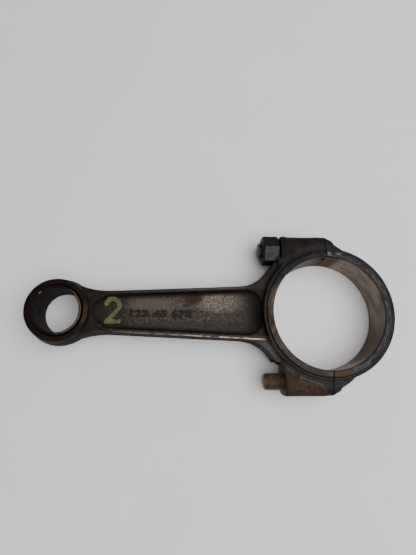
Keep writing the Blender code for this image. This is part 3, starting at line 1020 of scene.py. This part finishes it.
def forged_material():
    s = Surface("oily_forged_steel", 0.2, 0.04)
    crest, hollow = s.attribute("crest"), s.attribute("hollow")
    broad, fine, grain = s.noise(9.0), s.noise(1.6, 6, 0.65), s.noise(0.55, 3, 0.6)
    height = s.size(s.z)
    side = s.size(s.y)
    edge = s.scaled(s.x, SHANK_TAPER, SHANK_HALF_WIDTH)
    inward = s.minus(edge, side)

    color = s.ramp(broad, (0.3, DARK), (0.5, SOOT), (0.72, BROWN_BLACK))
    color = s.mix(s.smooth(s.x, -4, 6), color, s.ramp(broad, (0.3, BLUE_BLACK), (0.7, BLUE_GREY)))
    in_recess = s.both(
        s.smooth(height, 4.6, 3.6),
        s.smooth(inward, 3.2, 5.6),
        s.smooth(s.x, -118, -112),
        s.smooth(s.x, -36, -46),
    )
    speckle = s.noise(0.9, 3, 0.7)
    mottled = s.scaled(fine, 0.45, s.both(speckle, 0.55))
    web = s.ramp(mottled, (0.38, WEB_DARK), (0.505, WEB_MID), (0.645, WEB_LIGHT))
    web = s.layers(
        web,
        (s.both(s.spot(-56, 5.5, 12, 4.5), 0.75), s.ramp(speckle, (0.35, WEB_MID), (0.65, WEB_WORN))),
        (s.both(s.spot(-90, 4, 14, 3.5), 0.5), WEB_LIGHT),
        (s.spot(-69.5, 8.8, 5, 4.2, 0.4), OIL_BROWN),
        (s.both(s.smooth(s.x, -58, -40), 0.5), WEB_BLUE),
        (s.both(s.smooth(s.y, -2.5, -7), 0.55), WEB_BLUE),
        (s.both(s.smooth(s.x, -98, -108), 0.6), DARK),
    )
    color = s.mix(in_recess, color, web)

    on_flange = s.both(
        s.smooth(height, 5.9, 6.4),
        s.smooth(inward, 3.4, 2.5),
        s.smooth(s.x, -114, -100),
        s.smooth(s.x, -26, -34),
    )
    broken = s.smooth(s.noise(2.2, 5, 0.7, (0.5, 1, 1)), 0.38, 0.52)
    lower_side = s.smooth(s.y, 1, -1)
    off_line = s.scaled(lower_side, 0.45, s.minus(inward, 1.7))
    from_line = s.minus(s.size(off_line), s.both(lower_side, 0.12))
    line = s.smooth(from_line, 0.32, 0.02)
    fade = s.scaled(s.smooth(s.x, -86, -60), 0.7, 0.3)
    strong = s.scaled(lower_side, 0.74, 0.14)
    to_end = s.smooth(s.scaled(lower_side, -7, s.x), -38, -45)
    # A bright broken line along the flanges' outer edges, stronger on the lower side: painted highlight,
    # partly worn bare metal.
    flange_highlight = s.both(on_flange, broken, line, fade, strong, to_end)
    # The flange's lighter tone is laid on more thickly on the lower side: partly rubbed metal, partly
    # painted light.
    rubbed_and_lit = s.scaled(s.both(lower_side, s.smooth(s.x, -85, -62)), 0.4, 0.35)
    color = s.layers(color, (s.both(on_flange, rubbed_and_lit), FLANGE), (flange_highlight, WORN_EDGE_HIGHLIGHT))

    crests = s.both(s.smooth(crest, 0.35, 0.95), s.smooth(s.noise(1.8, 5, 0.7), 0.42, 0.62))
    # Crests are worn lighter, more so on the lower side, where the extra share is painted highlight; the
    # hollows are darker, partly dirt, partly painted shade.
    color = s.layers(
        color,
        (s.both(crests, s.scaled(lower_side, 0.3, 0.2)), WORN_STEEL),
        (s.both(s.smooth(hollow, 0.15, 0.75), 0.5), BLUE_BLACK),
    )
    rust = s.either(
        s.both(s.spot(-12, -37, 10, 6, 0.5, 0.3), s.smooth(s.y, -30, -33), 0.85),
        s.both(s.spot(-24, -28, 9, 7, 0.5), 0.6),
    )
    flare = s.both(s.spot(-31, -21, 6, 6), 0.4, s.smooth(grain, 0.3, 0.6))
    lip = s.both(s.spot(-21.6, -36.5, 1.2, 4, 0.5, 0.5, 2.0), s.smooth(s.y, -30, -32), 0.75)
    seam = s.both(s.smooth(height, 0.75, 0.35), s.smooth(s.noise(4.0, 4), 0.35, 0.55))
    color = s.layers(
        color,
        (flare, FLARE_GREY),
        (rust, s.ramp(fine, (0.35, RUST_DARK), (0.65, RUST))),
        (lip, LIP_GREY),
        (s.both(s.spot(-142, -13, 9, 5), 0.6), RED_BROWN),
        (s.both(seam, 0.3), WORN_STEEL),
    )
    rough = s.scaled(fine, 0.35, 0.45)
    bumps = s.math("ADD", s.scaled(grain, 0.5, fine), seam)
    return s.finish(color, rough, bumps, 0.16)


def machined_material():
    s = Surface("worn_machined_steel", 0.3, 0.04)
    r, turn = s.radius(), s.angle()
    r_eye, turn_eye = s.radius(EYE_X), s.angle(EYE_X)
    height = s.size(s.z)
    streaks = s.polar_noise(r, turn, 0.5, 0.10, 4)
    patches = s.polar_noise(r, turn, 3.0, 0.22, 4)
    grain = s.noise(0.5, 3, 0.6)

    blue = s.ramp(streaks, (0.32, BLUE_BLACK), (0.52, BLUE_GREY), (0.70, BLUE_WORN))
    brown = s.ramp(streaks, (0.30, SOOT), (0.52, RING_BROWN), (0.72, RING_TAN))
    left = s.both(s.smooth(s.x, -18, -26), s.smooth(s.y, 17, 9), s.smooth(s.y, -30, -14))
    low_left = s.both(s.smooth(s.x, 4, -4), s.smooth(s.y, -14, -22))
    upper_left = s.both(s.smooth(s.x, 3, -3), s.smooth(s.y, 10, 20))
    color = s.layers(
        blue,
        (left, brown),
        (s.both(low_left, 0.75), RING_TAN_DARK),
        (s.both(upper_left, 0.6), BLUE_BLACK),
        (s.both(s.smooth(patches, 0.50, 0.70), 0.28), WORN_STEEL),
        (s.both(s.smooth(s.noise(0.45, 2, 0.7), 0.60, 0.68), 0.55), BLUE_WORN),
        (s.both(upper_left, 0.4), GRIME_AND_SHADE),
        (s.both(s.smooth(patches, 0.46, 0.34), 0.45), DARK),
    )
    rusty_end = s.both(s.spot(4.5, -30.8, 5.5, 2.2, 0.3, 0.3), s.smooth(s.x, 0, 0.3))
    scuffs = s.either(
        s.spot(1.4, 31.2, 0.9, 1.3, 0.6, 1.4, 0.6), s.spot(7, 31.0, 1.8, 0.6, 0.6, 1.4, 0.6)
    )
    outside = s.smooth(r, RING_R - 0.1, RING_R + 0.1)
    apron = s.smooth(r, TURNED_R, TURNED_R + 0.1)
    color = s.layers(
        color,
        (s.both(rusty_end, 0.8), RING_RUST),
        (s.both(scuffs, 0.35), SCUFF),
        (s.both(outside, 0.75), s.ramp(streaks, (0.35, DARK), (0.7, BROWN_BLACK))),
        (apron, s.ramp(grain, (0.35, APRON_DARK), (0.65, APRON_GREY))),
    )
    # A lighter line along the rim where the flat cut meets the forged crown, on the lower side only:
    # painted highlight.
    corner_x, corner_y = apron_corner()
    around = s.minus(s.radius(corner_x, -corner_y), APRON_CORNER_R)
    fillet = s.both(s.smooth(around, 0.8, 0.5), s.smooth(s.x, corner_x + 0.5, corner_x + 1.5))
    strip = s.both(
        s.smooth(r, APRON_R - 0.8, APRON_R - 0.5), s.smooth(s.x, corner_x + 1.5, corner_x + 0.5)
    )
    edge = s.both(s.either(strip, fillet), s.smooth(s.y, -20, -24), s.smooth(grain, 0.2, 0.45))
    # Darker bands along the ring's edge, the step's corner, the bore's edge and the parting line: painted
    # shade in these corners and seams, partly oil.
    borders = s.either(
        s.smooth(s.away(r, RING_R), 0.42, 0.12),
        s.smooth(s.away(r, TURNED_R), 0.30, 0.05),
        s.smooth(r, BIG_BORE_R + 0.75, BIG_BORE_R + 0.45),
        s.smooth(s.size(s.x), 0.50, 0.20),
    )
    near_ring = s.smooth(r, 45, 44)
    seat = s.smooth(s.away(s.x, SEAT_X), 0.15, 0.05)
    dark_seat = s.ramp(grain, (0.35, GRIME_AND_SHADE), (0.7, DARK))
    rusty_seat = s.ramp(grain, (0.35, RUST), (0.65, RING_TAN))
    color = s.layers(
        color,
        (s.both(edge, apron), APRON_RIM_HIGHLIGHT),
        (s.both(borders, near_ring, 0.85), GRIME_AND_SHADE),
        (s.both(seat, near_ring, apron), s.mix(s.smooth(s.y, 5, -5), dark_seat, rusty_seat)),
    )

    eye_streaks = s.polar_noise(r_eye, turn_eye, 0.5, 0.15, 4)
    eye = s.ramp(eye_streaks, (0.32, GRIME_AND_SHADE), (0.52, DARK), (0.74, SOOT))
    arc_patch = s.both(s.smooth(s.x, EYE_X + 10, EYE_X + 13), s.smooth(s.y, 5, 1), s.smooth(s.y, -9, -5))
    eye = s.layers(
        eye,
        (s.both(s.smooth(s.x, EYE_X - 3, EYE_X - 10), 0.95), GRIME_AND_SHADE),
        (s.both(arc_patch, s.smooth(r_eye, 16.9, 16.0), s.smooth(eye_streaks, 0.3, 0.6), 0.9), EYE_BROWN),
        (s.both(s.smooth(s.y, -4, -13), 0.7), RED_BROWN),
        (s.smooth(r_eye, EYE_BORE_R + 0.95, EYE_BORE_R + 0.6), RED_BROWN),
    )
    color = s.mix(s.smooth(r_eye, 30, 28), color, eye)

    rough = s.scaled(streaks, 0.4, 0.28)
    bumps = s.scaled(grain, 0.6, streaks)
    return s.finish(color, rough, bumps, 0.06)


def bore_material():
    s = Surface("shell_seat", 0.2, 0.05)
    turn = s.angle()
    broad = s.polar_noise(s.z, turn, 9.0, 0.35, 3)
    fine = s.noise(0.8, 5, 0.65)
    color = s.ramp(broad, (0.32, BORE_BROWN), (0.50, BORE_GREY), (0.68, BORE_TAN))
    cream = s.both(s.smooth(s.y, 15, 20), s.smooth(s.x, -2, -5))
    red = s.both(s.smooth(s.y, 15, 20), s.smooth(s.x, -6, -2), s.smooth(s.x, 10, 5))
    low_right = s.both(s.smooth(s.x, 10, 20), s.smooth(s.y, 6, -16))
    color = s.layers(
        color,
        (s.both(cream, 0.9), BORE_CREAM),
        (s.both(red, 0.95), BORE_RED),
        (s.both(low_right, 0.85), s.ramp(fine, (0.35, BORE_DARK), (0.65, BORE_BROWN))),
        (s.both(s.smooth(s.size(s.z), 8.7, 9.5), 0.8), GRIME_AND_SHADE),
        (s.both(s.smooth(fine, 0.48, 0.7), 0.3), BORE_DARK),
    )
    return s.finish(color, s.scaled(fine, 0.3, 0.45), fine, 0.04)


def bush_material():
    s = Surface("stained_bronze", 0.3, 0.05)
    r, turn = s.radius(EYE_X), s.angle(EYE_X)
    streaks = s.polar_noise(s.z, turn, 1.2, 0.30, 4)
    fine = s.noise(0.7, 4, 0.6)
    color = s.ramp(streaks, (0.32, BUSH_DARK), (0.5, BUSH_GREY), (0.70, BUSH_BROWN))
    on_face = s.both(s.smooth(s.size(s.z), 9.6, 9.9), s.smooth(r, 11.2, 11.5))
    # The bronze rim shows light mostly on the right side, and at a nick on the face: painted glints,
    # partly rubbed bronze.
    right = s.smooth(s.scaled(s.y, -0.25, s.x), EYE_X + 1, EYE_X + 8)
    rim = s.both(s.smooth(r, 11.5, 11.65), s.smooth(r, 12.1, 11.95))
    rubbed_and_lit = s.both(on_face, rim, s.scaled(right, 0.85, 0.06), s.smooth(fine, 0.33, 0.55))
    nick = s.spot(EYE_X - 8.3, 8.5, 0.55, 0.55, 0.5, 0.2, 1.0)
    color = s.layers(
        color, (on_face, BUSH_DARK), (rubbed_and_lit, BUSH_BRASS_GLINT), (s.both(on_face, nick), BUSH_BRASS_GLINT)
    )
    return s.finish(color, s.scaled(fine, 0.3, 0.5), fine, 0.03)


def stud_material(name, dark, mid, light):
    s = Surface(name, 0.45)
    fine, broad = s.noise(0.6, 5, 0.6), s.noise(3.0, 3)
    mixed = s.scaled(broad, 0.5, s.both(fine, 0.5))
    color = s.ramp(mixed, (0.36, dark), (0.50, mid), (0.64, light))
    return s.finish(color, s.scaled(fine, 0.3, 0.35), fine, 0.05)


def nut_material():
    s = Surface("blackened_nut_steel", 0.35, 0.05)
    crest = s.attribute("crest")
    fine, broad = s.noise(0.6, 5, 0.6), s.noise(3.2, 4)
    color = s.ramp(broad, (0.35, NUT_BLACK), (0.65, NUT_DARK))
    worn = s.both(s.smooth(fine, 0.36, 0.55), s.smooth(broad, 0.3, 0.5))
    # Grey on the flat facing up and to the side: painted reflection of the light, broken up by worn
    # patches.
    flat = s.both(
        s.smooth(s.z, 3.4, 4.2),
        s.smooth(s.y, STUD_Y + 0.8, STUD_Y + 0.3),
        s.smooth(s.x, NUT_START + 0.8, NUT_START + 1.4),
        s.smooth(s.x, NUT_END - 0.3, NUT_END - 0.8),
    )
    color = s.layers(
        color,
        (s.both(flat, s.scaled(worn, 0.5, 0.5)), NUT_FLAT_REFLECTION),
        (s.both(s.smooth(crest, 0.35, 0.9), 0.5), WORN_STEEL),
    )
    bumps = s.scaled(broad, 1.5, fine)
    return s.finish(color, s.scaled(fine, 0.3, 0.28), bumps, 0.08)


def paint_material():
    s = Surface("yellow_green_paint", 0.0)
    broad, fine = s.noise(2.2, 4), s.noise(0.7, 5, 0.65)
    mixed = s.scaled(broad, 0.55, s.both(fine, 0.45))
    color = s.ramp(mixed, (0.36, PAINT_DIRTY), (0.48, PAINT_MID), (0.64, PAINT_LIGHT))
    return s.finish(color, s.scaled(fine, 0.25, 0.45), fine, 0.05)


def figure_material():
    s = Surface("raised_figures_steel", 0.55)
    fine = s.noise(0.6, 4, 0.6)
    # The figures are near-black as painted shadow along their strokes, with painted light on their tops.
    top = s.smooth(s.z, WEB_HALF_HEIGHT + 0.25, WEB_HALF_HEIGHT + 0.5)
    color = s.mix(top, GRIME_AND_SHADE, s.ramp(fine, (0.40, GRIME_AND_SHADE), (0.64, WEB_DARK)))
    return s.finish(color, s.scaled(fine, 0.3, 0.35), fine, 0.04)


def plain_material(name, color, rough):
    s = Surface(name, 0.0)
    faint = s.ramp(s.noise(40.0, 2), (0.3, tuple(0.97 * c for c in color)), (0.7, color))
    return s.finish(faint, rough, s.noise(1.5), 0.02)


# ---------------------------------------------------------------- scene

def make_camera():
    data = bpy.data.cameras.new("camera")
    data.sensor_width = 36.0
    data.lens = CAMERA_LENS
    data.clip_start, data.clip_end = 0.01, 10
    camera = add_object("camera", data)
    camera.location = (CENTRE + Vector(CAMERA_PLACE)) / M
    camera.rotation_mode = "ZYX"
    camera.rotation_euler = CAMERA_TURN
    bpy.context.scene.camera = camera


def make_floor():
    bm = bmesh.new()
    bmesh.ops.create_grid(bm, x_segments=2, y_segments=2, size=1.5)
    floor = add_mesh("floor", bm)
    floor.location.z = cad_box[0].z
    floor.data.materials.append(plain_material("floor", FLOOR, 0.8))


def make_light():
    data = bpy.data.lights.new("soft_key", "AREA")
    data.shape = "DISK"
    data.size = 1.3
    data.energy = 23
    data.color = KEY_COLOR
    light = add_object("soft_key", data)
    light.location = KEY_PLACE
    towards = Vector(KEY_TARGET) - Vector(KEY_PLACE)
    light.rotation_euler = towards.to_track_quat("-Z", "Y").to_euler()


def make_world():
    world = bpy.data.worlds.new("studio")
    world.use_nodes = True
    shade = world.node_tree.nodes["Background"]
    shade.inputs["Color"].default_value = (*SKY, 1)
    shade.inputs["Strength"].default_value = 0.40
    bpy.context.scene.world = world


def main():
    make_camera()
    make_floor()
    make_world()
    make_light()

    forging = forged_skin(forge_blank())
    values = relief(forging.data, 16, 0.22)
    near = kdtree.KDTree(len(forging.data.vertices))
    for v in forging.data.vertices:
        near.insert(v.co, v.index)
    near.balance()
    rod, cap = forging, add_object("bearing_cap_forging", forging.data.copy())
    rod.name = "connecting_rod_forging"
    combine(rod, rod_cutters(), "DIFFERENCE")
    combine(cap, cap_cutters(), "DIFFERENCE")
    for made in (rod, cap):
        copy_attributes(made, near, values)
        sort_faces(made)
        crisp(made)
    tree = bvhtree.BVHTree.FromObject(rod, bpy.context.evaluated_depsgraph_get())
    figures, paint = make_figures(tree), make_paint(tree)
    bush, nut = make_bush(), make_nut()
    for made in (bush, nut, figures, paint):
        crisp(made)

    skin = [forged_material(), machined_material(), bore_material()]
    deliver(rod, "rod", ["rod_body"], skin)
    deliver(cap, "cap", ["bearing_cap"], skin)
    deliver(bush, "rod", ["small_end_bush"], [bush_material()])
    deliver(nut, "nut", ["nut_upper"], [nut_material()])
    deliver(figures, "rod", [], [figure_material()])
    deliver(paint, "rod", [], [paint_material()])
    dark = stud_material("dark_stud_steel", DARK, BLUE_BLACK, BLUE_WORN)
    rusty = stud_material("rusty_stud_steel", STUD_RUST_DARK, STUD_RUST, STUD_GOLD)
    for side, slot, steel in (("upper", "stud_steel", dark), ("lower", "rusty_stud_steel", rusty)):
        stud = make_stud(side)
        crisp(stud, 75)
        deliver(stud, "cap", [f"cap_stud_{side}"], [steel])


main()
